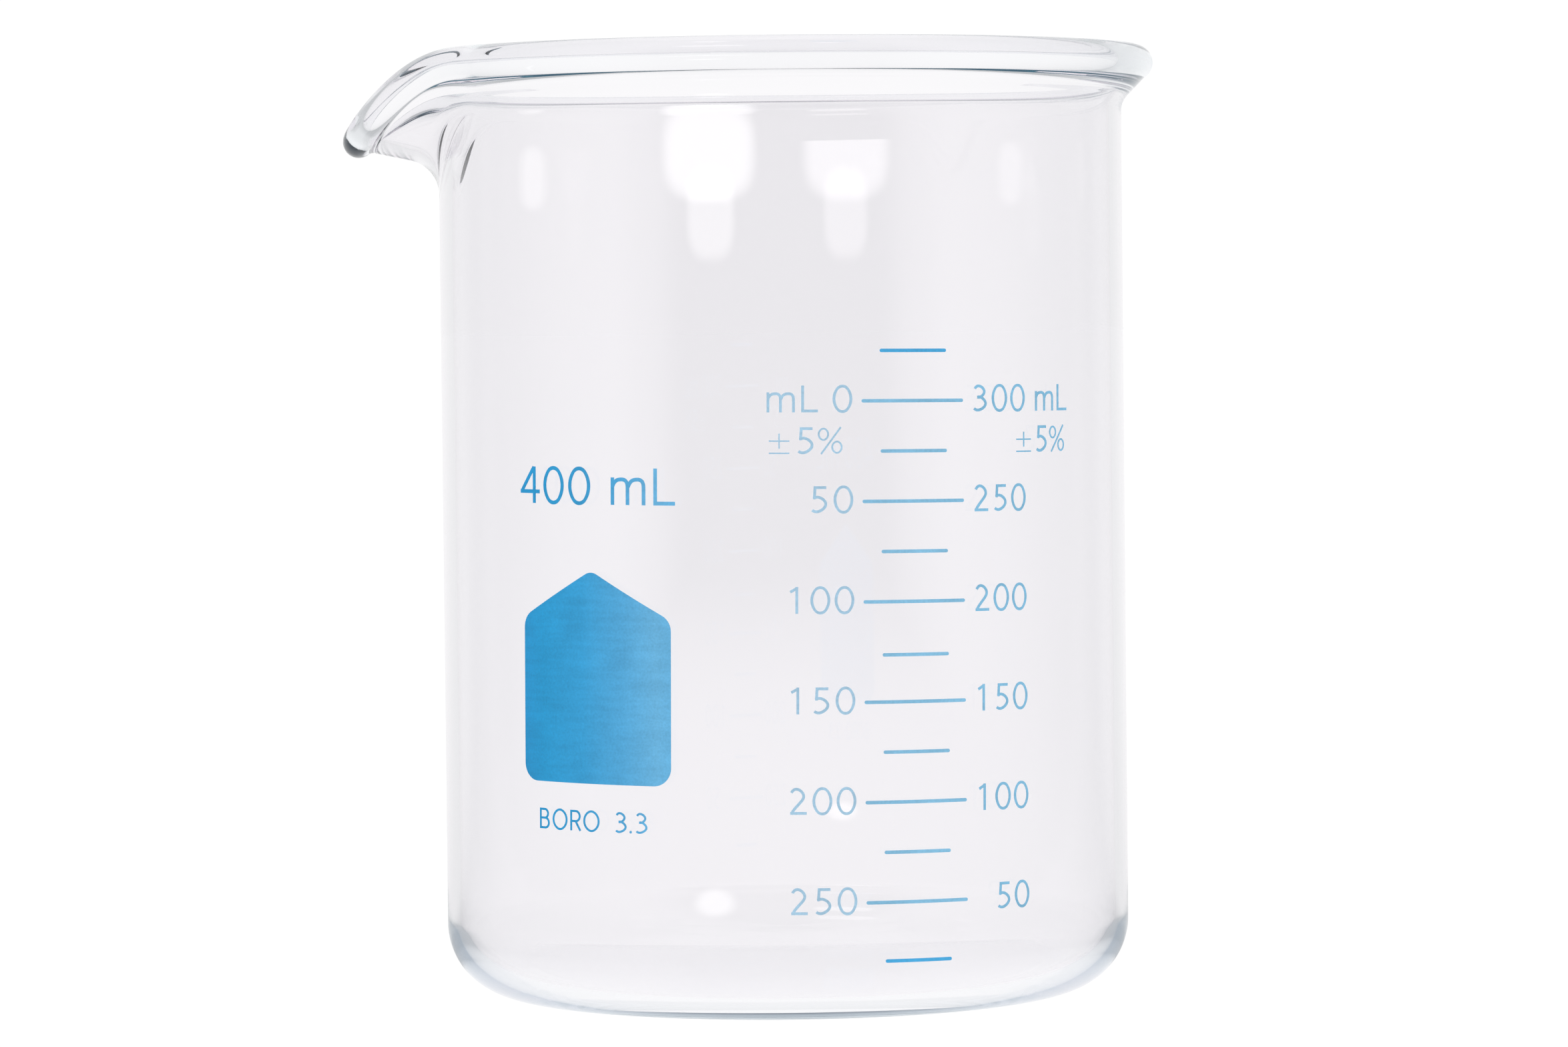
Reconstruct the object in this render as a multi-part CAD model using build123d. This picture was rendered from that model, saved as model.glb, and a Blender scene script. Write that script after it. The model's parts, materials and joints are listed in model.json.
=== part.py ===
from build123d import *
import os
from math import cos, pi, radians, sin, sqrt, tan

# Low-form borosilicate beaker: one glass vessel with a beaded rim and a pouring spout,
# and enamel marks that are fired on to its outside. Millimetres, +Z up.
# The origin is the centre of the foot, on the surface that the beaker stands on.
# The spout points along -X, and the marks face -Y.

# ---- glass vessel --------------------------------------------------------------------
OUTER_R = 39.5             # outside of the straight wall
WALL = 1.55
INNER_R = OUTER_R - WALL
FLOOR = 2.1                # thickness of the floor
FOOT_R = 30.9              # where the flat foot ends and the heel starts
HEEL_LOW_R = 8.75          # the heel is a flatter arc beside the foot ...
HEEL_TURN = 30.5           # ... which turns by these degrees, then a tighter arc
INNER_CORNER_R = 7.0
BEAD_R = 2.0               # rounded bead along the rim
BEAD_CENTRE_R = 41.13
HEIGHT = 109.0
FUSE_TOLERANCE = 1e-5      # between the round wall and the lofted sector

# ---- spout ---------------------------------------------------------------------------
SPOUT_AZIMUTH = 180.0      # degrees from +X
SPOUT_HALF_ANGLE = 33.0    # the rim runs round undisturbed beyond this, each side
LOFT_HALF_ANGLE = 34.0     # the lofted sector's edge, in the undisturbed rim
SECTION_STEP = 2.0         # degrees between the lofted sections
SPOUT_OUT_POWER = 2.6       # how the spout swells between its edges and its centre
SPOUT_DROP_POWER = 1.5     # the lip falls later than it moves out, by this power
SECTOR_FLOOR_Z = 88.0      # the lofted sector starts in the straight wall at this height
LIP_BEAD_R = 1.8           # bead at the spout's tip
LIP_CENTRE_R = 48.75
LIP_CENTRE_Z = 98.8

# ---- enamel marks: all arcs are mm round the wall from -Y, positive to the right -----
ENAMEL = 0.05              # thickness of the fired enamel
PRINT_SKEW = 0.0096        # the print drops by this much for each mm to the right
PRESS_DEPTH = 3.0          # how far a flat mark reaches each side of the wall's surface

SCALE_ARC = 14.79          # centre of the graduated scale
LONG_LINE = 12.1
SHORT_LINE = 7.9
LINE_WIDTH = 0.39
ML_PER_MM = 4.5245         # how much each mm of height holds
EMPTY_Z = 2.52             # height that the straight part's scale counts from
SCALE_STEP = 25            # mL from line to line
SCALE_TOP = 325
LINE_DROPS = {25: 0.95, 175: 0.33}     # lines that lie lower than the even spacing

NUMERAL_H = 2.95
STROKE = 0.31
ADVANCE = 2.68             # from one numeral's cell to the next
NUMERAL_DROP = 1.25        # a numeral's foot lies this far below its line
FILLED_RIGHT = 29.85       # right edge of the column that reads the filled volume
POURED_RIGHT = 7.92        # right edge of the column that reads the volume poured out
FULL_SCALE = 300
LABEL_STEP = 50

UNIT_RIGHT_ARC = 34.15
UNIT_LEFT_ARC = 1.09
TOLERANCE_RIGHT_ARC = 32.4
TOLERANCE_LEFT_ARC = 2.55
TOLERANCE_Z = 63.0

CAPACITY_ARC = -22.69
CAPACITY_Z = 57.3
CAPACITY_SCALE = 1.38
MATERIAL_ARC = -23.0
MATERIAL_Z = 21.0
MATERIAL_SCALE = 0.78

PATCH_ARC = -22.9          # write-on patch with a gabled top
PATCH_W = 19.85
PATCH_BOTTOM_Z = 26.3
PATCH_SHOULDER_Z = 44.6
PATCH_APEX_Z = 49.95
PATCH_CORNER_R = 2.0
PATCH_APEX_R = 1.5


# ======================================================================================
# Glass vessel
# ======================================================================================
class Flare:
    """One side of a flared section, from the upright wall to the bead."""

    def __init__(self, angle, wall_fillet, depth, bead_fillet):
        self.angle = angle                 # degrees from upright
        self.wall_fillet = wall_fillet     # radius between the wall and the flare
        self.depth = depth                 # from the bead's centre square to this side
        self.bead_fillet = bead_fillet     # radius between the flare and the bead


class Section:
    """The measures of one radial section through the rim or the spout."""

    def __init__(self, bead_r, centre_r, centre_z, outer, inner):
        self.bead_r = bead_r
        self.centre_r = centre_r
        self.centre_z = centre_z
        self.outer = outer
        self.inner = inner


RIM = Section(
    BEAD_R,
    BEAD_CENTRE_R,
    HEIGHT - BEAD_R,
    outer=Flare(angle=44.0, wall_fillet=2.6, depth=1.92, bead_fillet=1.0),
    inner=Flare(angle=40.0, wall_fillet=4.15, depth=-0.13, bead_fillet=1.5),
)
LIP = Section(
    LIP_BEAD_R,
    LIP_CENTRE_R,
    LIP_CENTRE_Z,
    outer=Flare(angle=78.0, wall_fillet=4.2, depth=0.85, bead_fillet=1.0),
    inner=Flare(angle=74.0, wall_fillet=6.0, depth=0.90, bead_fillet=1.5),
)


def between(start, end, share):
    return start + (end - start) * share


def flare_between(start, end, share):
    return Flare(
        between(start.angle, end.angle, share),
        between(start.wall_fillet, end.wall_fillet, share),
        between(start.depth, end.depth, share),
        between(start.bead_fillet, end.bead_fillet, share),
    )


def spout_section(angle):
    """The section at this many degrees from the spout's centre."""
    off = min(abs(angle) / SPOUT_HALF_ANGLE, 1.0)
    out = cos(off * pi / 2) ** SPOUT_OUT_POWER
    down = out ** SPOUT_DROP_POWER
    return Section(
        between(RIM.bead_r, LIP.bead_r, out),
        between(RIM.centre_r, LIP.centre_r, out),
        between(RIM.centre_z, LIP.centre_z, down),
        flare_between(RIM.outer, LIP.outer, out),
        flare_between(RIM.inner, LIP.inner, out),
    )


def wall_to_bead(section, flare, wall_r, side):
    """Edges of the outer (+1) or inner (-1) side: wall, fillet, flare, hollow fillet."""
    along = Vector(sin(radians(flare.angle)), cos(radians(flare.angle)))
    normal = Vector(along.Y, -along.X) * side
    centre = Vector(section.centre_r, section.centre_z)
    abreast = centre + normal * flare.depth

    # the fillet between the upright wall and the flare
    corner = abreast + along * ((wall_r - abreast.X) / along.X)
    half_turn = radians(flare.angle) / 2
    reach = flare.wall_fillet * tan(half_turn)
    fillet_start = corner - Vector(0, reach)
    fillet_end = corner + along * reach
    cut_corner = flare.wall_fillet * (1 / cos(half_turn) - 1)
    fillet_mid = corner + (along - Vector(0, 1)).normalized() * cut_corner

    # the hollow fillet between the flare and the bead
    run = sqrt(
        (section.bead_r + flare.bead_fillet) ** 2 - (flare.depth + flare.bead_fillet) ** 2
    )
    hollow_start = abreast - along * run
    hollow_centre = hollow_start + normal * flare.bead_fillet
    to_bead = (centre - hollow_centre).normalized()
    hollow_mid = hollow_centre + (to_bead - normal).normalized() * flare.bead_fillet
    hollow_end = hollow_centre + to_bead * flare.bead_fillet

    wall_foot = Vector(wall_r, SECTOR_FLOOR_Z)
    edges = [
        Line(wall_foot, fillet_start),
        ThreePointArc(fillet_start, fillet_mid, fillet_end),
        Line(fillet_end, hollow_start),
        ThreePointArc(hollow_start, hollow_mid, hollow_end),
    ]
    return edges, hollow_end


def bead_arc(centre, bead_r, start, end):
    middle = centre + (start + end - centre * 2).normalized() * bead_r
    return ThreePointArc(start, middle, end)


def section_face(section):
    """The closed section of wall, flare and bead, with x outward and y up."""
    outer_edges, outer_end = wall_to_bead(section, section.outer, OUTER_R, 1)
    inner_edges, inner_end = wall_to_bead(section, section.inner, INNER_R, -1)
    centre = Vector(section.centre_r, section.centre_z)
    back = (outer_end + inner_end - centre * 2).normalized()
    crown = centre - back * section.bead_r
    bead = [
        bead_arc(centre, section.bead_r, outer_end, crown),
        bead_arc(centre, section.bead_r, crown, inner_end),
    ]
    base = [Line((INNER_R, SECTOR_FLOOR_Z), (OUTER_R, SECTOR_FLOOR_Z))]
    return Face(Wire(outer_edges + bead + inner_edges[::-1] + base))


def radial_plane(azimuth):
    """A plane through the axis: its x is outward and its y is up."""
    turn = radians(azimuth)
    return Plane(origin=(0, 0, 0), x_dir=(cos(turn), sin(turn), 0), z_dir=(sin(turn), -cos(turn), 0))


def spout_sector():
    """The rim and upper wall across the spout, lofted from section to section."""
    steps = round(2 * LOFT_HALF_ANGLE / SECTION_STEP)
    sections = []
    for i in range(steps + 1):
        angle = i * SECTION_STEP - LOFT_HALF_ANGLE
        sections.append(radial_plane(SPOUT_AZIMUTH + angle) * section_face(spout_section(angle)))
    return loft(sections)


def rim_ring():
    """The undisturbed rim and upper wall, round the rest of the circle."""
    start = radial_plane(SPOUT_AZIMUTH + LOFT_HALF_ANGLE) * section_face(RIM)
    return revolve(start, axis=Axis.Z, revolution_arc=360 - 2 * LOFT_HALF_ANGLE)


def arc_point(centre, radius, turn):
    """The point of a heel arc where it has turned this far up from flat."""
    return centre + Vector(sin(turn), -cos(turn)) * radius


def cup():
    """Floor, heel and straight wall, up to where the spout's sector starts."""
    turn = radians(HEEL_TURN)
    quarter = pi / 2
    foot = Vector(FOOT_R, 0)
    low_centre = Vector(FOOT_R, HEEL_LOW_R)
    low_end = arc_point(low_centre, HEEL_LOW_R, turn)
    high_r = (OUTER_R - low_end.X) / (1 - sin(turn))
    high_centre = low_end + Vector(-sin(turn), cos(turn)) * high_r
    heel_top = arc_point(high_centre, high_r, quarter)
    inner_centre = Vector(INNER_R - INNER_CORNER_R, FLOOR + INNER_CORNER_R)
    inner_top = arc_point(inner_centre, INNER_CORNER_R, quarter)
    inner_foot = arc_point(inner_centre, INNER_CORNER_R, 0)
    outline = [
        Line((0, 0), foot),
        ThreePointArc(foot, arc_point(low_centre, HEEL_LOW_R, turn / 2), low_end),
        ThreePointArc(low_end, arc_point(high_centre, high_r, (turn + quarter) / 2), heel_top),
        Line(heel_top, (OUTER_R, SECTOR_FLOOR_Z)),
        Line((OUTER_R, SECTOR_FLOOR_Z), (INNER_R, SECTOR_FLOOR_Z)),
        Line((INNER_R, SECTOR_FLOOR_Z), inner_top),
        ThreePointArc(inner_top, arc_point(inner_centre, INNER_CORNER_R, quarter / 2), inner_foot),
        Line(inner_foot, (0, FLOOR)),
        Line((0, FLOOR), (0, 0)),
    ]
    return revolve(radial_plane(0) * Face(Wire(outline)), axis=Axis.Z)


def glass_vessel():
    return cup().fuse(rim_ring()).fuse(spout_sector(), tol=FUSE_TOLERANCE)


# ======================================================================================
# Glyphs: strokes of one width, drawn from x = 0 on the foot line at y = 0
# ======================================================================================
HALF = STROKE / 2
TOP = NUMERAL_H - HALF     # centre line of a stroke along a numeral's top
LOWER_CASE_H = 2.2
OVAL_END = 0.38            # radius of an oval's ends, as a share of its width


def stroke(points, width=STROKE):
    """A smooth stroke along a curve through three or more points."""
    return trace(Spline(*points), line_width=width)


def bar(start, end, width=STROKE):
    return trace(Line(start, end), line_width=width)


def oval(width, height):
    """An upright oval of four tangent arcs."""
    end_r = OVAL_END * width
    rise = height / 2 - end_r
    side_r = ((width / 2) ** 2 + rise ** 2 - end_r ** 2) / (width - 2 * end_r)
    inset = side_r - width / 2
    stretch = side_r / (side_r - end_r)
    x = inset * stretch - inset
    y = rise * stretch
    sides = [
        ThreePointArc((x, -y), (width / 2, 0), (x, y)),
        ThreePointArc((x, y), (0, height / 2), (-x, y)),
        ThreePointArc((-x, y), (-width / 2, 0), (-x, -y)),
        ThreePointArc((-x, -y), (0, -height / 2), (x, -y)),
    ]
    return make_face(sides)


def ring(centre, width, height, line=STROKE):
    return Pos(*centre) * (oval(width, height) - oval(width - 2 * line, height - 2 * line))


def glyph_0():
    return ring((1.33, NUMERAL_H / 2), 2.2, 3.1)


def glyph_1():
    stem = bar((1.42, 0), (1.42, NUMERAL_H))
    flag = bar((0.70, 2.38), (1.42, 2.79), 0.30)
    return stem + flag


def glyph_2():
    body = stroke([(0.60, 2.42), (1.30, TOP), (1.95, 2.08), (1.52, 1.28), (0.66, HALF)])
    return body + bar((0.46, HALF), (2.28, HALF))


def glyph_3():
    upper = stroke([(0.62, 2.52), (1.28, TOP), (1.88, 2.18), (1.48, 1.66), (0.95, 1.58)])
    lower = stroke([(0.95, 1.58), (1.62, 1.46), (2.06, 0.86), (1.50, 0.27), (0.52, 0.34)])
    return upper + lower


def glyph_4():
    stem = bar((1.85, 0), (1.85, NUMERAL_H))
    slope = bar((0.36, 0.96), (1.80, 2.90))
    return stem + slope + bar((0.21, 0.94), (2.47, 0.94))


def glyph_5():
    top = bar((0.70, TOP), (2.10, TOP))
    stem = bar((0.86, TOP), (0.78, 1.52))
    bowl = stroke([(0.68, 1.60), (1.30, 1.72), (2.05, 0.98), (1.50, 0.28), (0.55, 0.32)])
    return top + stem + bowl


def glyph_m():
    letter = bar((HALF, 0), (HALF, LOWER_CASE_H))
    for left in (HALF, 1.58):
        right = left + 1.37
        arch = [(left, 1.45), (left + 0.72, LOWER_CASE_H - HALF), (right, 1.40)]
        letter += trace(Spline(*arch, tangents=[(0.35, 1), (0, -1)]), line_width=STROKE)
        letter += bar((right, 0), (right, 1.42))
    return letter


def glyph_L():
    return bar((HALF, 0), (HALF, NUMERAL_H)) + bar((0, HALF), (1.84, HALF))


def glyph_plus_minus():
    thin = 0.16
    plus = bar((1.13, 0.60), (1.13, 2.26), thin) + bar((0, 1.43), (2.26, 1.43), thin)
    return plus + bar((0, 0.09), (2.26, 0.09), thin)


def glyph_percent():
    thin = 0.20
    slash = bar((0.36, 0), (2.55, NUMERAL_H), thin)
    return slash + ring((0.62, 2.17), 1.24, 1.44, thin) + ring((2.12, 0.75), 1.24, 1.44, thin)


def glyph_B():
    letter = bar((HALF, 0), (HALF, NUMERAL_H))
    for low, high, reach in ((HALF, 1.55, 1.78), (1.55, TOP, 1.62)):
        middle = (low + high) / 2
        bend = 1.05
        letter += bar((HALF, low), (bend, low)) + bar((HALF, high), (bend, high))
        letter += trace(ThreePointArc((bend, low), (reach, middle), (bend, high)), line_width=STROKE)
    return letter


def glyph_O():
    return ring((1.40, NUMERAL_H / 2), 2.8, 3.1)


def glyph_R():
    letter = bar((HALF, 0), (HALF, NUMERAL_H))
    low = 1.36
    bend = 1.05
    letter += bar((HALF, low), (bend, low)) + bar((HALF, TOP), (bend, TOP))
    letter += trace(ThreePointArc((bend, low), (1.70, (low + TOP) / 2), (bend, TOP)), line_width=STROKE)
    return letter + bar((0.95, low), (1.80, 0.02))


def glyph_point():
    return Pos(HALF * 1.2, HALF * 1.2) * Circle(HALF * 1.2)


# each glyph's drawing and the width of its cell
GLYPHS = {
    "0": (glyph_0(), ADVANCE),
    "1": (glyph_1(), ADVANCE),
    "2": (glyph_2(), ADVANCE),
    "3": (glyph_3(), ADVANCE),
    "4": (glyph_4(), ADVANCE),
    "5": (glyph_5(), ADVANCE),
    "m": (glyph_m(), 3.80),
    "L": (glyph_L(), 1.95),
    "±": (glyph_plus_minus(), 2.70),
    "%": (glyph_percent(), 2.90),
    "B": (glyph_B(), 2.55),
    "O": (glyph_O(), 3.35),
    "R": (glyph_R(), 2.35),
    ".": (glyph_point(), 0.60),
    " ": (None, 1.70),
}


# ======================================================================================
# Enamel on the wall
# ======================================================================================
def enamel_skin():
    """The thin cylindrical layer that every mark is cut from."""
    height = PATCH_SHOULDER_Z * 2
    layer = Cylinder(OUTER_R + ENAMEL, height, align=(Align.CENTER, Align.CENTER, Align.MIN))
    return layer - Cylinder(OUTER_R, height, align=(Align.CENTER, Align.CENTER, Align.MIN))


SKIN = enamel_skin()


def on_wall(drawing, arc, height):
    """Press a flat drawing on to the wall, with its own origin at this arc and height."""
    turn = arc / OUTER_R
    drop = PRINT_SKEW * (arc - SCALE_ARC)
    lean = PRINT_SKEW
    plane = Plane(
        origin=(OUTER_R * sin(turn), -OUTER_R * cos(turn), height - drop),
        x_dir=(cos(turn), sin(turn), -lean),
        z_dir=(sin(turn), -cos(turn), 0),
    )
    return extrude(plane * drawing, amount=PRESS_DEPTH, both=True) & SKIN


def text_width(text, scale):
    return sum(GLYPHS[letter][1] for letter in text) * scale


def print_text(text, arc, height, scale=1.0):
    """Solids of a line of text, each glyph pressed on where it falls round the wall."""
    solids = []
    left = arc - text_width(text, scale) / 2
    for letter in text:
        drawing, advance = GLYPHS[letter]
        if drawing is not None:
            middle = advance / 2
            flat = scale_drawing(Pos(-middle, 0) * drawing, scale)
            solids += on_wall(flat, left + middle * scale, height).solids()
        left += advance * scale
    return solids


def scale_drawing(drawing, scale):
    """The drawing enlarged about the start of its base line."""
    enlarged = drawing.scale(scale)
    shift = drawing.bounding_box().center() * scale - enlarged.bounding_box().center()
    return Pos(shift) * enlarged


def line_height(volume):
    return EMPTY_Z + volume / ML_PER_MM - LINE_DROPS.get(volume, 0.0)


def graduation_line(volume):
    length = LONG_LINE if volume % LABEL_STEP == 0 and volume <= FULL_SCALE else SHORT_LINE
    flat = SlotOverall(length, LINE_WIDTH)
    return on_wall(flat, SCALE_ARC, line_height(volume)).solids()


def numeral(value, right, volume):
    text = str(value)
    arc = right - text_width(text, 1.0) / 2
    return print_text(text, arc, line_height(volume) - NUMERAL_DROP)


def writing_patch():
    """A plain enamel patch to write on in pencil, with rounded corners and a gabled top."""
    half = OUTER_R * sin(PATCH_W / 2 / OUTER_R)
    shoulder = PATCH_SHOULDER_Z - PATCH_BOTTOM_Z
    apex = PATCH_APEX_Z - PATCH_BOTTOM_Z
    corners = [(-half, 0), (half, 0), (half, shoulder), (0, apex), (-half, shoulder)]
    outline = make_face(Polyline(*corners, close=True))
    by_height = outline.vertices().sort_by(Axis.Y)
    outline = fillet(by_height[:4], PATCH_CORNER_R)
    outline = fillet(outline.vertices().sort_by(Axis.Y)[-1], PATCH_APEX_R)
    return on_wall(outline, PATCH_ARC, PATCH_BOTTOM_Z).solids()


# ======================================================================================
# Nodes
# ======================================================================================
def write_node(name, solids):
    group = solids[0] if len(solids) == 1 else Compound(children=list(solids))
    export_step(group, f"parts/{name}.step")
    print(name, len(solids), "solids")


def write_enamel():
    for volume in range(SCALE_STEP, SCALE_TOP + 1, SCALE_STEP):
        write_node(f"graduation_line_{volume:03d}", graduation_line(volume))
    for volume in range(LABEL_STEP, FULL_SCALE + 1, LABEL_STEP):
        poured = FULL_SCALE - volume
        write_node(f"filled_numeral_{volume:03d}", numeral(volume, FILLED_RIGHT, volume))
        write_node(f"poured_numeral_{poured:03d}", numeral(poured, POURED_RIGHT, volume))
    unit_z = line_height(FULL_SCALE) - NUMERAL_DROP
    write_node("unit_label_right", print_text("mL", UNIT_RIGHT_ARC, unit_z))
    write_node("unit_label_left", print_text("mL", UNIT_LEFT_ARC, unit_z))
    write_node("tolerance_label_right", print_text("±5%", TOLERANCE_RIGHT_ARC, TOLERANCE_Z))
    write_node("tolerance_label_left", print_text("±5%", TOLERANCE_LEFT_ARC, TOLERANCE_Z))
    write_node("capacity_label", print_text("400 mL", CAPACITY_ARC, CAPACITY_Z, CAPACITY_SCALE))
    write_node("material_label", print_text("BORO 3.3", MATERIAL_ARC, MATERIAL_Z, MATERIAL_SCALE))
    write_node("writing_patch", writing_patch())


os.makedirs("parts", exist_ok=True)
write_node("glass_vessel", glass_vessel().solids())
write_enamel()
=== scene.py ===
import json
from math import cos, pi, radians, sin, sqrt, tan

import bpy
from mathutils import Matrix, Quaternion, Vector


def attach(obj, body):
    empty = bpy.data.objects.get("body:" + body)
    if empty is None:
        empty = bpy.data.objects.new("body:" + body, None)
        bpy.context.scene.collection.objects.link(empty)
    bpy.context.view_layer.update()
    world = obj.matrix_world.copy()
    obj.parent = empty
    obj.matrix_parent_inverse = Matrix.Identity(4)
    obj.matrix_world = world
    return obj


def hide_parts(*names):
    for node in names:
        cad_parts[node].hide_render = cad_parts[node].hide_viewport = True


# A low-form glass beaker with fired enamel marks. Metres, in the frame of the CAD model:
# the foot stands on z = 0, the spout points along -X and the marks face -Y.

MM = 0.001

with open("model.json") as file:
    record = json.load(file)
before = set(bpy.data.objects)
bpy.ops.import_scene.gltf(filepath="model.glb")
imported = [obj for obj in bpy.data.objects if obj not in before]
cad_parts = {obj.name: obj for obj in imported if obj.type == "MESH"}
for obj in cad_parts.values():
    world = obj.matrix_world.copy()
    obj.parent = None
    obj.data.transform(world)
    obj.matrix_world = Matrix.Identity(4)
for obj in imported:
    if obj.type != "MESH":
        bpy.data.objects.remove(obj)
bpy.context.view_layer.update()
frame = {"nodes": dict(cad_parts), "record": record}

# ---- glass vessel, the same driving dimensions as the CAD model ----------------------
GLASS_NODE = "glass_vessel"
OUTER_R = 39.5 * MM
ENAMEL_GAP = 0.03 * MM       # the glass stays just inside the enamel's inner face
WALL_R = OUTER_R - ENAMEL_GAP
INNER_R = 37.95 * MM
FLOOR = 2.1 * MM
FOOT_R = 30.9 * MM
HEEL_LOW_R = 8.75 * MM
HEEL_TURN = radians(30.5)
INNER_CORNER_R = 7.0 * MM
SPOUT_AZIMUTH = pi
SPOUT_HALF_ANGLE = radians(33)
SPOUT_OUT_POWER = 2.6
SPOUT_DROP_POWER = 1.5
SECTOR_FLOOR = 88.0 * MM
TURN_STEP = radians(0.75)     # between outlines round the plain wall
SPOUT_STEP = radians(0.25)    # and round the spout
POLE_R = 1.5 * MM             # the outlines start and end here, round the two poles

# ---- points along each run of an outline ---------------------------------------------
FOOT_STEPS = 16
HEEL_LOW_STEPS = 20
HEEL_HIGH_STEPS = 28
WALL_STEPS = 24
UNDER_FLARE_STEPS = 12
WALL_FILLET_STEPS = 28
FLARE_STEPS = 8
BEAD_FILLET_STEPS = 12
HALF_BEAD_STEPS = 28
CORNER_STEPS = 32

# ---- camera --------------------------------------------------------------------------
CAMERA_DISTANCE = 733.7 * MM
CAMERA_HEIGHT = 79.05 * MM
CAMERA_PITCH = radians(1.94)
CAMERA_ROLL = radians(-0.604)
LENS = 145.36                # on the sensor's width
SENSOR_WIDTH = 36.0

# ---- glass ---------------------------------------------------------------------------
GLASS_TINT = (0.964, 0.948, 0.963, 1)
GLASS_IOR = 1.473
ABSORPTION = (0.50, 0.90, 0.95, 1)
ABSORPTION_DENSITY = 10.0

# ---- enamel --------------------------------------------------------------------------
# Colour by x across the front, the blue marks darker towards -X: (x in millimetres, colour).
TONES_FROM = -30.0 * MM
TONES_TO = 30.0 * MM
ENAMELS = {
    "blue_enamel": (
        (-29, (0.012, 0.275, 0.570)),
        (-27, (0.014, 0.305, 0.610)),
        (-22.5, (0.032, 0.320, 0.620)),
        (-18, (0.080, 0.375, 0.670)),
        (-14.3, (0.135, 0.435, 0.710)),
        (9, (0.060, 0.380, 0.70)),
    ),
    "scale_enamel": ((-24, (0.24, 0.50, 0.70)), (30, (0.21, 0.48, 0.69))),
    "pale_enamel": ((-24, (0.36, 0.56, 0.72)), (30, (0.36, 0.56, 0.72))),
}
CLOUD_SCALE = 260.0          # per metre: slow changes of tone,
STREAK_SCALE = 1700.0        # faint screen-print streaks
GRAIN_SCALE = 4200.0         # and fine grain
STREAK_STRETCH = (0.12, 0.12, 1.0)
BARE_TONE = 0.50             # the share of the tone that the three noises add to
CLOUD_SHARE = 0.34
GRAIN_SHARE = 0.34
STREAK_SHARE = 0.30
ENAMEL_IOR = 1.5
ENAMEL_SPECULAR = 0.2
ENAMEL_SMOOTHEST = 0.35
ENAMEL_ROUGHEST = 0.6
GRAIN_STRENGTH = 0.25
GRAIN_HEIGHT = 0.01 * MM

# ---- room ----------------------------------------------------------------------------
# What the eye sees, straight or through the glass.
WHITE_LEVEL = 1.04
FLOOR_LEVEL = 1.02
FLOOR_SIZE = 20.0
FLOOR_Z = -0.03 * MM
# The room as the glass mirrors it: (degrees away from the dark front, brightness).
ROOM_SIDES = (
    (0, 0.0), (33, 0.0), (48, 0.40), (60, 0.59), (73, 0.58), (90, 0.55),
    (103, 0.53), (123, 0.62), (138, 0.84), (180, 1.0),
)
# Soft windows in front of the glass: azimuth, height, half width, half height, brightness.
WINDOWS = (
    (radians(-24.0), 0.0250, radians(15.5), 0.0078, 2.7),
    (radians(-23.5), 0.0150, radians(8.0), 0.0072, 1.6),
    (radians(-92.0), 0.0210, radians(6.0), 0.0050, 0.9),
    (radians(-26.0), 0.7400, radians(14.0), 0.0500, 2.5),
)
WINDOW_ROUNDNESS = 3.0
WINDOW_EDGE = (0.35, 1.45)   # where a window starts and ends to fade
# Painted reflection tone of the table near the beaker, seen only in the glass's reflections.
TABLE_LEVEL = 0.58
TABLE_EDGE = (0.35, 1.3)     # metres from the axis
UNDER_EDGE = (0.040, 0.052)  # the painted bright patch under the foot, seen only in the glass's reflections
# A painted pool of light on the table, seen only in the glass's reflections: its centre, fade and
# brightness.
PAINTED_LIGHT_POOL = (-0.069, -0.172, 0)
PAINTED_LIGHT_POOL_EDGE = (0.010, 0.026)
PAINTED_LIGHT_POOL_LEVEL = 1.9
DEEP_TEAL = (0.004, 0.024, 0.048, 1)
SCATTERED = (0.86, 0.73, 0.79, 1)
TRAPPED = (0.16, 0.14, 0.18, 1)
OFTEN = (2.0, 6.0)           # mirrored this many times, light comes from all round
CAUGHT = (20.0, 36.0)        # and this many times, it is trapped in the wall
BOUNCES = 256


# ======================================================================================
# Geometry of the glass
# ======================================================================================
class Flare:
    """One side of a flared section, from the upright wall to the bead."""

    def __init__(self, angle, wall_fillet, depth, bead_fillet):
        self.angle = angle
        self.wall_fillet = wall_fillet
        self.depth = depth
        self.bead_fillet = bead_fillet


class Section:
    """The measures of one radial section through the rim or the spout."""

    def __init__(self, bead_r, centre, outer, inner):
        self.bead_r = bead_r
        self.centre = centre
        self.outer = outer
        self.inner = inner


RIM = Section(
    2.0 * MM,
    Vector((41.13, 107.0)) * MM,
    outer=Flare(radians(44), 2.6 * MM, 1.92 * MM, 1.0 * MM),
    inner=Flare(radians(40), 4.15 * MM, -0.13 * MM, 1.5 * MM),
)
LIP = Section(
    1.8 * MM,
    Vector((48.75, 98.8)) * MM,
    outer=Flare(radians(78), 4.2 * MM, 0.85 * MM, 1.0 * MM),
    inner=Flare(radians(74), 6.0 * MM, 0.90 * MM, 1.5 * MM),
)


def between(start, end, share):
    """The number this share of the way from start to end."""
    return start + (end - start) * share


def flare_between(start, end, share):
    """The flare this share of the way from start to end."""
    return Flare(
        between(start.angle, end.angle, share),
        between(start.wall_fillet, end.wall_fillet, share),
        between(start.depth, end.depth, share),
        between(start.bead_fillet, end.bead_fillet, share),
    )


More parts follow.
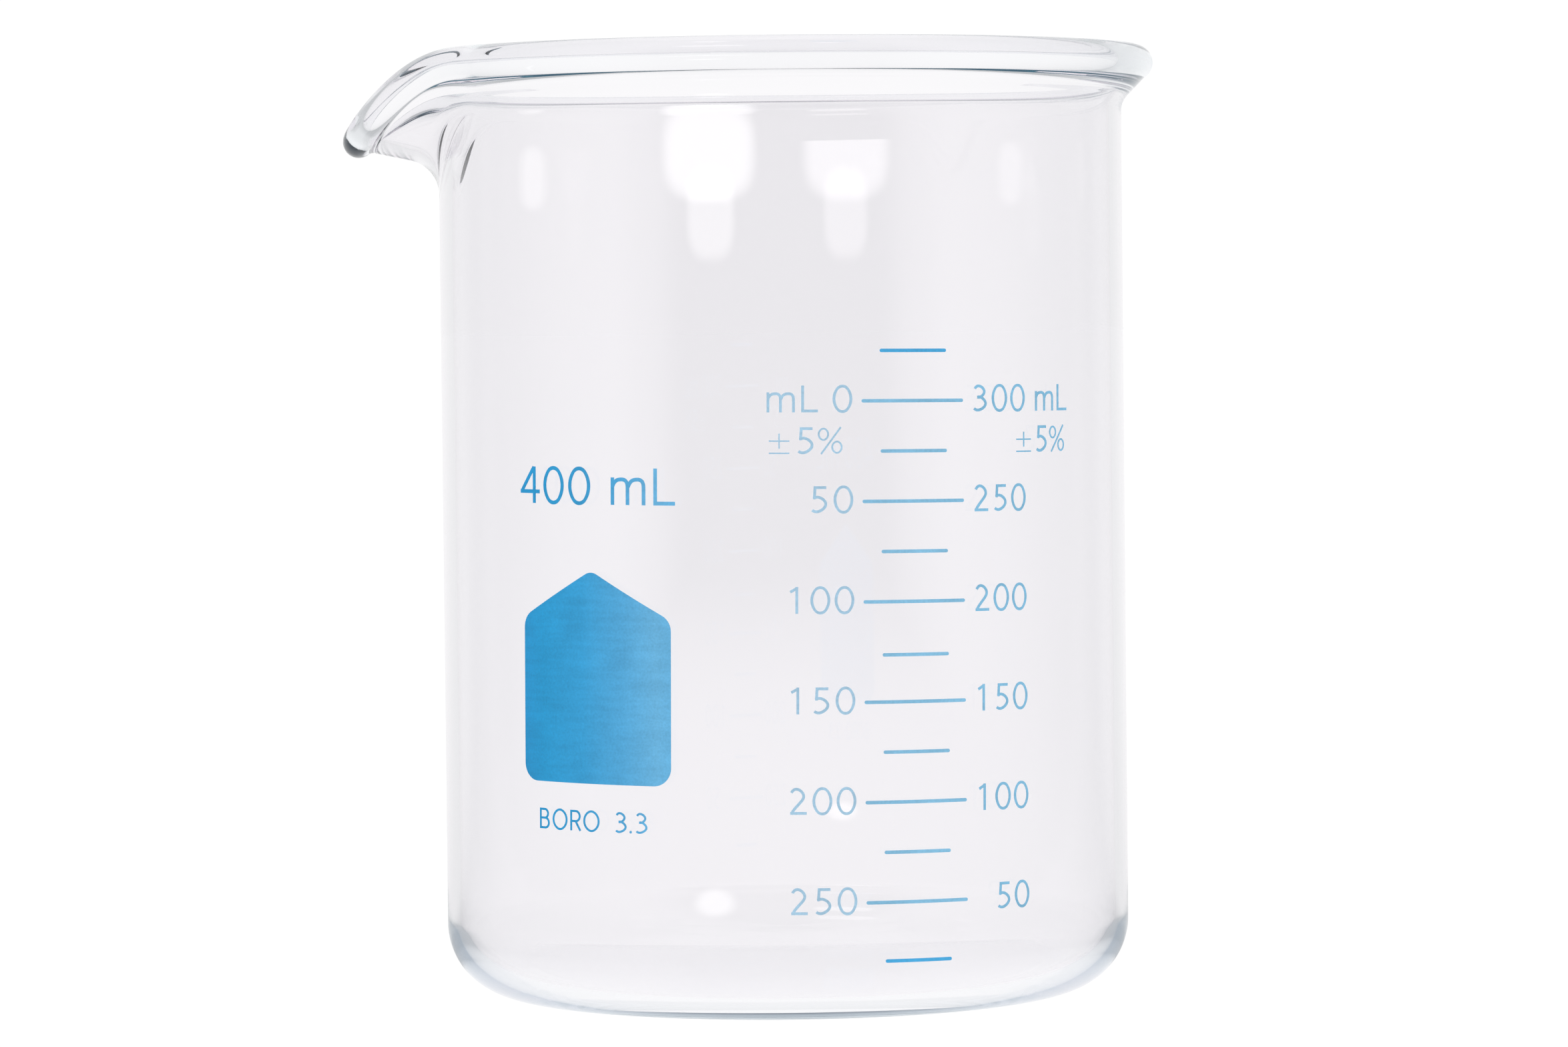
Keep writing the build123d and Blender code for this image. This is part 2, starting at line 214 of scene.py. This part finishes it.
def spout_section(angle):
    """The section at this angle from the spout's centre."""
    off = min(abs(angle) / SPOUT_HALF_ANGLE, 1.0)
    out = cos(off * pi / 2) ** SPOUT_OUT_POWER
    down = out ** SPOUT_DROP_POWER
    centre = Vector((
        between(RIM.centre.x, LIP.centre.x, out),
        between(RIM.centre.y, LIP.centre.y, down),
    ))
    return Section(
        between(RIM.bead_r, LIP.bead_r, out),
        centre,
        flare_between(RIM.outer, LIP.outer, out),
        flare_between(RIM.inner, LIP.inner, out),
    )


def line_points(start, end, steps):
    """Points from start towards end, without the end."""
    return [start.lerp(end, i / steps) for i in range(steps)]


def arc_points(centre, start, end, steps):
    """Points from start towards end, without the end, on the short arc about centre."""
    first = start - centre
    turn = first.angle_signed(end - centre)
    points = []
    for i in range(steps):
        a = -turn * i / steps
        spun = Vector((first.x * cos(a) - first.y * sin(a), first.x * sin(a) + first.y * cos(a)))
        points.append(centre + spun)
    return points


def flare_points(section, flare, wall_r, side):
    """Points up the outer (+1) or inner (-1) side, and the point where its bead starts."""
    along = Vector((sin(flare.angle), cos(flare.angle)))
    normal = Vector((along.y, -along.x)) * side
    abreast = section.centre + normal * flare.depth
    corner = abreast + along * ((wall_r - abreast.x) / along.x)
    reach = flare.wall_fillet * tan(flare.angle / 2)
    fillet_start = corner - Vector((0, reach))
    fillet_end = corner + along * reach
    fillet_centre = fillet_start + Vector((flare.wall_fillet, 0))
    run = sqrt(
        (section.bead_r + flare.bead_fillet) ** 2 - (flare.depth + flare.bead_fillet) ** 2
    )
    hollow_start = abreast - along * run
    hollow_centre = hollow_start + normal * flare.bead_fillet
    to_bead = (section.centre - hollow_centre).normalized()
    hollow_end = hollow_centre + to_bead * flare.bead_fillet
    points = line_points(Vector((wall_r, SECTOR_FLOOR)), fillet_start, UNDER_FLARE_STEPS)
    points += arc_points(fillet_centre, fillet_start, fillet_end, WALL_FILLET_STEPS)
    points += line_points(fillet_end, hollow_start, FLARE_STEPS)
    points += arc_points(hollow_centre, hollow_start, hollow_end, BEAD_FILLET_STEPS)
    return points, hollow_end


def rim_outline(section):
    """The rim's section, from the outer wall over the bead to the inner wall."""
    outer, outer_end = flare_points(section, section.outer, WALL_R, 1)
    inner, inner_end = flare_points(section, section.inner, INNER_R, -1)
    back = (outer_end + inner_end - section.centre * 2).normalized()
    crown = section.centre - back * section.bead_r
    bead = arc_points(section.centre, outer_end, crown, HALF_BEAD_STEPS)
    bead += arc_points(section.centre, crown, inner_end, HALF_BEAD_STEPS)
    return outer + bead + [inner_end] + inner[::-1]


def heel_outline():
    """The outer section from beside the foot's centre up to the straight wall."""
    low_centre = Vector((FOOT_R, HEEL_LOW_R))
    foot = Vector((FOOT_R, 0))
    low_end = low_centre + Vector((sin(HEEL_TURN), -cos(HEEL_TURN))) * HEEL_LOW_R
    high_r = (WALL_R - low_end.x) / (1 - sin(HEEL_TURN))
    high_centre = low_end + Vector((-sin(HEEL_TURN), cos(HEEL_TURN))) * high_r
    heel_top = high_centre + Vector((high_r, 0))
    points = line_points(Vector((POLE_R, 0)), foot, FOOT_STEPS)
    points += arc_points(low_centre, foot, low_end, HEEL_LOW_STEPS)
    points += arc_points(high_centre, low_end, heel_top, HEEL_HIGH_STEPS)
    return points + line_points(heel_top, Vector((WALL_R, SECTOR_FLOOR)), WALL_STEPS)


def inside_outline():
    """The inner section, from the spout's lower edge down to beside the floor's centre."""
    centre = Vector((INNER_R - INNER_CORNER_R, FLOOR + INNER_CORNER_R))
    top = centre + Vector((INNER_CORNER_R, 0))
    foot = centre - Vector((0, INNER_CORNER_R))
    last = Vector((POLE_R, FLOOR))
    points = line_points(Vector((INNER_R, SECTOR_FLOOR)), top, WALL_STEPS)[1:]
    points += arc_points(centre, top, foot, CORNER_STEPS)
    return points + line_points(foot, last, FOOT_STEPS) + [last]


def turn_azimuths():
    """Azimuths of the outlines, closer together round the spout."""
    spout_turn = 2 * SPOUT_HALF_ANGLE
    plain_turn = 2 * pi - spout_turn
    spout_steps = round(spout_turn / SPOUT_STEP)
    plain_steps = round(plain_turn / TURN_STEP)
    start = SPOUT_AZIMUTH - SPOUT_HALF_ANGLE
    end = SPOUT_AZIMUTH + SPOUT_HALF_ANGLE
    spout = [start + spout_turn * i / spout_steps for i in range(spout_steps)]
    return spout + [end + plain_turn * i / plain_steps for i in range(plain_steps)]


def glass_mesh():
    """A closed surface: one outline for each step of the turn, and two poles."""
    lower = heel_outline()
    inside = inside_outline()
    plain = rim_outline(RIM)
    vertices = []
    azimuths = turn_azimuths()
    for azimuth in azimuths:
        off = azimuth - SPOUT_AZIMUTH
        rim = plain if abs(off) >= SPOUT_HALF_ANGLE else rim_outline(spout_section(off))
        for point in lower + rim + inside:
            vertices.append((point.x * cos(azimuth), point.x * sin(azimuth), point.y))
    count = len(lower) + len(plain) + len(inside)
    under = len(vertices)
    vertices += [(0, 0, 0), (0, 0, FLOOR)]
    faces = []
    for j in range(len(azimuths)):
        here = j * count
        there = (j + 1) % len(azimuths) * count
        faces.append((under, there, here))
        faces.append((under + 1, here + count - 1, there + count - 1))
        for i in range(count - 1):
            faces.append((here + i, there + i, there + i + 1, here + i + 1))
    mesh = bpy.data.meshes.new("beaker_glass")
    mesh.from_pydata(vertices, [], faces)
    mesh.polygons.foreach_set("use_smooth", [True] * len(mesh.polygons))
    mesh.validate()
    return mesh


# ======================================================================================
# Materials
# ======================================================================================
def new_material(name):
    """An empty node material, with its output node."""
    material = bpy.data.materials.new(name)
    material.use_nodes = True
    nodes = material.node_tree.nodes
    nodes.clear()
    output = nodes.new("ShaderNodeOutputMaterial")
    return material, nodes, material.node_tree.links, output


def glass_material():
    """Clear borosilicate glass that turns faintly blue-green over a long path."""
    material, nodes, links, output = new_material("borosilicate_glass")
    shader = nodes.new("ShaderNodeBsdfPrincipled")
    shader.inputs["Base Color"].default_value = GLASS_TINT
    shader.inputs["Roughness"].default_value = 0.0
    shader.inputs["IOR"].default_value = GLASS_IOR
    shader.inputs["Transmission Weight"].default_value = 1.0
    absorb = nodes.new("ShaderNodeVolumeAbsorption")
    absorb.inputs["Color"].default_value = ABSORPTION
    absorb.inputs["Density"].default_value = ABSORPTION_DENSITY
    links.new(shader.outputs["BSDF"], output.inputs["Surface"])
    links.new(absorb.outputs["Volume"], output.inputs["Volume"])
    return material


def math_node(nodes, links, operation, *values):
    """A maths node; each value is a number or another node's output."""
    node = nodes.new("ShaderNodeMath")
    node.operation = operation
    for i, value in enumerate(values):
        if isinstance(value, (int, float)):
            node.inputs[i].default_value = value
        else:
            links.new(value, node.inputs[i])
    return node.outputs["Value"]


def smooth_range(nodes, links, value, low, high, at_low, at_high):
    """A value that eases from at_low to at_high as the input goes from low to high."""
    node = nodes.new("ShaderNodeMapRange")
    node.interpolation_type = "SMOOTHSTEP"
    node.inputs["From Min"].default_value = low
    node.inputs["From Max"].default_value = high
    node.inputs["To Min"].default_value = at_low
    node.inputs["To Max"].default_value = at_high
    links.new(value, node.inputs["Value"])
    return node.outputs["Result"]


def noise(nodes, links, vector, scale, detail):
    """Noise from 0 to 1 at this vector."""
    node = nodes.new("ShaderNodeTexNoise")
    node.inputs["Scale"].default_value = scale
    node.inputs["Detail"].default_value = detail
    links.new(vector, node.inputs["Vector"])
    return node.outputs["Fac"]


def tone_across(nodes, links, where, tones):
    """The print's tone, by how far it is across the front."""
    split = nodes.new("ShaderNodeSeparateXYZ")
    links.new(where, split.inputs["Vector"])
    across = nodes.new("ShaderNodeMapRange")
    across.inputs["From Min"].default_value = TONES_FROM
    across.inputs["From Max"].default_value = TONES_TO
    links.new(split.outputs["X"], across.inputs["Value"])
    ramp = nodes.new("ShaderNodeValToRGB")
    points = ramp.color_ramp.elements
    while len(points) < len(tones):
        points.new(0.5)
    for point, (x, colour) in zip(points, tones):
        point.position = (x * MM - TONES_FROM) / (TONES_TO - TONES_FROM)
        point.color = (*colour, 1)
    links.new(across.outputs["Result"], ramp.inputs["Fac"])
    return ramp.outputs["Color"]


def print_wear(nodes, links, where, grain):
    """How strong the print is: slow clouds, faint streaks along the squeegee and grain."""
    clouds = noise(nodes, links, where, CLOUD_SCALE, 5.0)
    stretched = nodes.new("ShaderNodeVectorMath")
    stretched.operation = "MULTIPLY"
    stretched.inputs[1].default_value = STREAK_STRETCH
    links.new(where, stretched.inputs[0])
    streaks = noise(nodes, links, stretched.outputs["Vector"], STREAK_SCALE, 3.0)
    wear = math_node(nodes, links, "MULTIPLY_ADD", clouds, CLOUD_SHARE, BARE_TONE)
    wear = math_node(nodes, links, "MULTIPLY_ADD", grain, GRAIN_SHARE, wear)
    return math_node(nodes, links, "MULTIPLY_ADD", streaks, STREAK_SHARE, wear)


def roughen(nodes, links, shader, grain):
    """The grain makes the enamel rougher in places and slightly bumpy."""
    rough = nodes.new("ShaderNodeMapRange")
    rough.inputs["To Min"].default_value = ENAMEL_SMOOTHEST
    rough.inputs["To Max"].default_value = ENAMEL_ROUGHEST
    links.new(grain, rough.inputs["Value"])
    links.new(rough.outputs["Result"], shader.inputs["Roughness"])
    bump = nodes.new("ShaderNodeBump")
    bump.inputs["Strength"].default_value = GRAIN_STRENGTH
    bump.inputs["Distance"].default_value = GRAIN_HEIGHT
    links.new(grain, bump.inputs["Height"])
    links.new(bump.outputs["Normal"], shader.inputs["Normal"])


def enamel_material(name, tones):
    """Fired enamel: the colour changes with x across the front as listed, with a fine grain and
    faint streaks.
    """
    material, nodes, links, output = new_material(name)
    where = nodes.new("ShaderNodeTexCoord").outputs["Object"]
    grain = noise(nodes, links, where, GRAIN_SCALE, 2.0)
    toned = nodes.new("ShaderNodeVectorMath")
    toned.operation = "SCALE"
    links.new(tone_across(nodes, links, where, tones), toned.inputs[0])
    links.new(print_wear(nodes, links, where, grain), toned.inputs["Scale"])
    shader = nodes.new("ShaderNodeBsdfPrincipled")
    shader.inputs["IOR"].default_value = ENAMEL_IOR
    shader.inputs["Specular IOR Level"].default_value = ENAMEL_SPECULAR
    roughen(nodes, links, shader, grain)
    links.new(toned.outputs["Vector"], shader.inputs["Base Color"])
    links.new(shader.outputs["BSDF"], output.inputs["Surface"])
    return material


# ======================================================================================
# Scene
# ======================================================================================
def add_camera():
    """A long lens in front of the marks, a little above the middle of the beaker."""
    data = bpy.data.cameras.new("camera")
    data.sensor_width = SENSOR_WIDTH
    data.lens = LENS
    data.clip_start = 0.01
    data.clip_end = 50.0
    camera = bpy.data.objects.new("camera", data)
    camera.location = (0, -CAMERA_DISTANCE, CAMERA_HEIGHT)
    camera.rotation_mode = "QUATERNION"
    upright = Quaternion((1, 0, 0), pi / 2 - CAMERA_PITCH)
    camera.rotation_quaternion = upright @ Quaternion((0, 0, 1), CAMERA_ROLL)
    bpy.context.scene.collection.objects.link(camera)
    bpy.context.scene.camera = camera


def azimuth_of(nodes, links, vector):
    """The angle round the room, in radians: 0 towards -Y, negative towards -X."""
    split = nodes.new("ShaderNodeSeparateXYZ")
    links.new(vector, split.inputs["Vector"])
    towards = math_node(nodes, links, "MULTIPLY", split.outputs["Y"], -1.0)
    return math_node(nodes, links, "ARCTAN2", split.outputs["X"], towards), split.outputs["Z"]


def room_sides(nodes, links, azimuth):
    """Brightness of the walls by the angle round the room."""
    ramp = nodes.new("ShaderNodeValToRGB")
    ramp.color_ramp.interpolation = "EASE"
    away = math_node(nodes, links, "ABSOLUTE", azimuth)
    links.new(math_node(nodes, links, "DIVIDE", away, pi), ramp.inputs["Fac"])
    points = ramp.color_ramp.elements
    while len(points) < len(ROOM_SIDES):
        points.new(0.5)
    for point, (degrees_away, level) in zip(points, ROOM_SIDES):
        point.position = degrees_away / 180
        point.color = (level, level, level, 1)
    return ramp.outputs["Color"]


def soft_window(nodes, links, azimuth, height, window):
    """A bright rounded rectangle with a soft edge."""
    centre, middle, half_width, half_height, level = window
    terms = []
    for value, at, half in ((azimuth, centre, half_width), (height, middle, half_height)):
        off = math_node(nodes, links, "SUBTRACT", value, at)
        share = math_node(nodes, links, "DIVIDE", off, half)
        share = math_node(nodes, links, "ABSOLUTE", share)
        terms.append(math_node(nodes, links, "POWER", share, WINDOW_ROUNDNESS))
    reach = math_node(nodes, links, "ADD", *terms)
    return smooth_range(nodes, links, reach, *WINDOW_EDGE, level, 0.0)


def mirrored(nodes, links):
    """How a ray was mirrored by the glass: once, often, and 1 to 0 as it is trapped."""
    depth = nodes.new("ShaderNodeLightPath").outputs["Glossy Depth"]
    once = math_node(nodes, links, "GREATER_THAN", depth, 0.5)
    often = smooth_range(nodes, links, depth, *OFTEN, 0.0, 1.0)
    free = smooth_range(nodes, links, depth, *CAUGHT, 1.0, 0.0)
    return once, often, free


def mix_colours(nodes, links, factor, first, second):
    """Each colour is a tuple or another node's output."""
    node = nodes.new("ShaderNodeMix")
    node.data_type = "RGBA"
    node.clamp_factor = False
    links.new(factor, node.inputs["Factor"])
    for socket, colour in (("A", first), ("B", second)):
        if isinstance(colour, tuple):
            node.inputs[socket].default_value = colour
        else:
            links.new(colour, node.inputs[socket])
    return node.outputs["Result"]


def as_mirrored(nodes, links, level, plain):
    """The plain colour seen straight through the glass, or the room's as mirrored in it.

    Light mirrored often comes from all round; light trapped in the wall ends up blue-green.
    """
    once, often, free = mirrored(nodes, links)
    room = mix_colours(nodes, links, level, DEEP_TEAL, (1, 1, 1, 1))
    room = mix_colours(nodes, links, often, room, SCATTERED)
    room = mix_colours(nodes, links, free, TRAPPED, room)
    return mix_colours(nodes, links, once, plain, room)


def add_world():
    """White all round for the eye; mirrored in the glass, a dim room with soft windows."""
    world = bpy.data.worlds.new("studio")
    bpy.context.scene.world = world
    world.use_nodes = True
    nodes = world.node_tree.nodes
    links = world.node_tree.links
    nodes.clear()
    output = nodes.new("ShaderNodeOutputWorld")
    background = nodes.new("ShaderNodeBackground")
    direction = nodes.new("ShaderNodeTexCoord").outputs["Generated"]
    azimuth, height = azimuth_of(nodes, links, direction)
    level = room_sides(nodes, links, azimuth)
    for window in WINDOWS:
        light = soft_window(nodes, links, azimuth, height, window)
        level = math_node(nodes, links, "ADD", level, light)
    seen = as_mirrored(nodes, links, level, (WHITE_LEVEL, WHITE_LEVEL, WHITE_LEVEL, 1))
    links.new(seen, background.inputs["Color"])
    links.new(background.outputs["Background"], output.inputs["Surface"])


def painted_light_pool(nodes, links, where):
    """A painted pool of light on the table, seen only where the glass mirrors it."""
    off = nodes.new("ShaderNodeVectorMath")
    off.operation = "DISTANCE"
    off.inputs[1].default_value = PAINTED_LIGHT_POOL
    links.new(where, off.inputs[0])
    return smooth_range(nodes, links, off.outputs["Value"], *PAINTED_LIGHT_POOL_EDGE, PAINTED_LIGHT_POOL_LEVEL, 0.0)


def floor_material():
    """A white table that glows evenly; where the glass mirrors it, it shows painted reflection
    tones: dimmer, fading into the room, with a painted bright patch under the foot and a painted
    pool of light.
    """
    material, nodes, links, output = new_material("pale_floor")
    where = nodes.new("ShaderNodeNewGeometry").outputs["Position"]
    azimuth, _ = azimuth_of(nodes, links, where)
    reach = nodes.new("ShaderNodeVectorMath")
    reach.operation = "LENGTH"
    links.new(where, reach.inputs[0])
    far = reach.outputs["Value"]
    # Painted reflection tones of the table: TABLE_LEVEL near the beaker, and the room's walls by
    # azimuth further out.
    near = smooth_range(nodes, links, far, *TABLE_EDGE, TABLE_LEVEL, 0.0)
    # a painted bright patch under the foot, seen only in the glass's reflections
    under = smooth_range(nodes, links, far, *UNDER_EDGE, 1.0, 0.0)
    dim = math_node(nodes, links, "MAXIMUM", room_sides(nodes, links, azimuth), near)
    dim = math_node(nodes, links, "MAXIMUM", dim, under)
    # add the painted pool of light
    dim = math_node(nodes, links, "ADD", dim, painted_light_pool(nodes, links, where))
    seen = as_mirrored(nodes, links, dim, (FLOOR_LEVEL, FLOOR_LEVEL, FLOOR_LEVEL, 1))
    glow = nodes.new("ShaderNodeEmission")
    links.new(seen, glow.inputs["Color"])
    plain = nodes.new("ShaderNodeBsdfDiffuse")
    plain.inputs["Color"].default_value = (0.02, 0.02, 0.02, 1)
    both = nodes.new("ShaderNodeAddShader")
    links.new(glow.outputs["Emission"], both.inputs[0])
    links.new(plain.outputs["BSDF"], both.inputs[1])
    links.new(both.outputs["Shader"], output.inputs["Surface"])
    return material


def add_floor():
    """The white table, which the room's light set-up needs; it isn't part of the beaker."""
    mesh = bpy.data.meshes.new("floor")
    signs = ((-1, -1), (1, -1), (1, 1), (-1, 1))
    corners = [(x * FLOOR_SIZE, y * FLOOR_SIZE, FLOOR_Z) for x, y in signs]
    mesh.from_pydata(corners, [], [(0, 1, 2, 3)])
    floor = bpy.data.objects.new("floor", mesh)
    mesh.materials.append(floor_material())
    bpy.context.scene.collection.objects.link(floor)


def add_glass():
    """The finer glass mesh in place of the CAD node."""
    mesh = glass_mesh()
    mesh.materials.append(glass_material())
    glass = bpy.data.objects.new("beaker_glass", mesh)
    bpy.context.scene.collection.objects.link(glass)
    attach(glass, "root")
    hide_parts(GLASS_NODE)


def paint_enamel():
    """Each enamel mark is the CAD node itself, with its slot's enamel."""
    made = {name: enamel_material(name, tones) for name, tones in ENAMELS.items()}
    for row in frame["record"]["subparts"]:
        node = frame["nodes"][row["node"]]
        if row["node"] == GLASS_NODE:
            continue
        node.data.materials.clear()
        node.data.materials.append(made[row["material_slot"]])


scene = bpy.context.scene
scene.view_settings.view_transform = "Standard"
scene.cycles.max_bounces = BOUNCES
scene.cycles.transmission_bounces = BOUNCES
scene.cycles.glossy_bounces = BOUNCES
scene.cycles.blur_glossy = 0.0
add_camera()
add_world()
add_floor()
add_glass()
paint_enamel()
